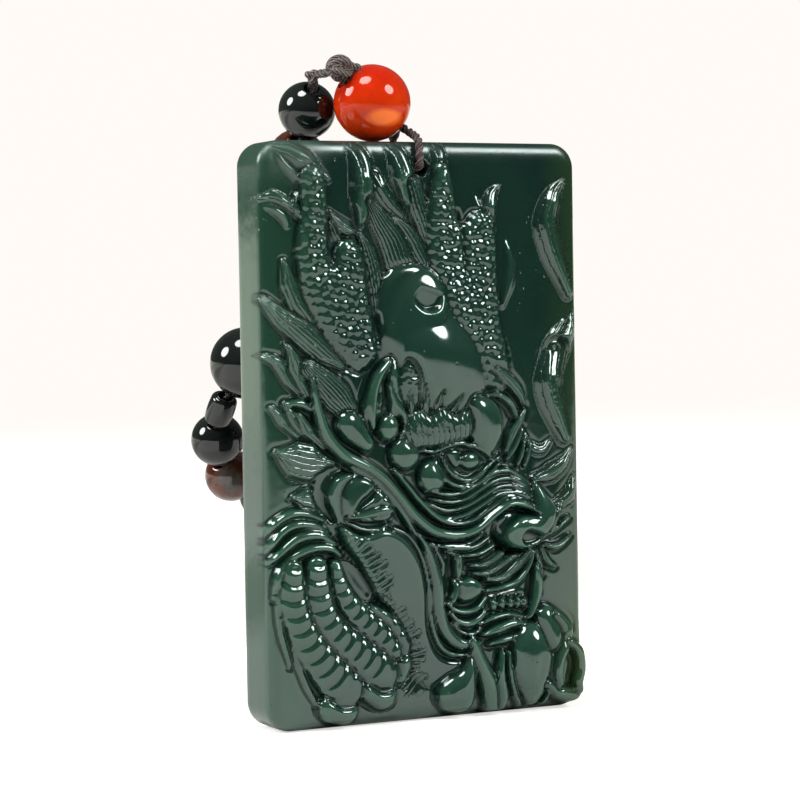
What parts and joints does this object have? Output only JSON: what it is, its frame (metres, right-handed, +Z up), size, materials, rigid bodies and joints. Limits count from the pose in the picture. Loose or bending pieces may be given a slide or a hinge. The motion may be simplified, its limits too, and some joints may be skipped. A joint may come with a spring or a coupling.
{
  "type": "carved jade dragon pendant on a bead string",
  "caption": "Dark green jade plaque carved with a dragon, standing on its edge, on a string of black and agate beads with a red carnelian bead.",
  "frame": {"origin": "middle of the flat lower edge that the plaque stands on, under its side walls", "axes": "+X to the viewer's right across the plaque, +Y to its plain back, +Z up"},
  "size_m": [0.1511, 0.2526, 0.0691],
  "materials": {
    "jade": "polished carved nephrite",
    "carnelian": "polished",
    "black_stone": "polished",
    "agate": "polished, translucent",
    "dark_cord": "twisted",
    "brown_cord": "wrapped and twisted"
  },
  "bodies": {
    "root": {"plaque": "jade", "hanging_cord": "dark_cord", "red_bead": "carnelian", "wrapped_knot": "brown_cord", "small_knot": "brown_cord", "bead_thread": "brown_cord", "first_black_bead": "black_stone", "side_black_bead": "black_stone", "side_barrel_bead": "black_stone", "side_small_bead": "black_stone", "side_agate_bead": "agate", "black_beads": "black_stone", "agate_beads": "agate"}
  },
  "joints": []
}
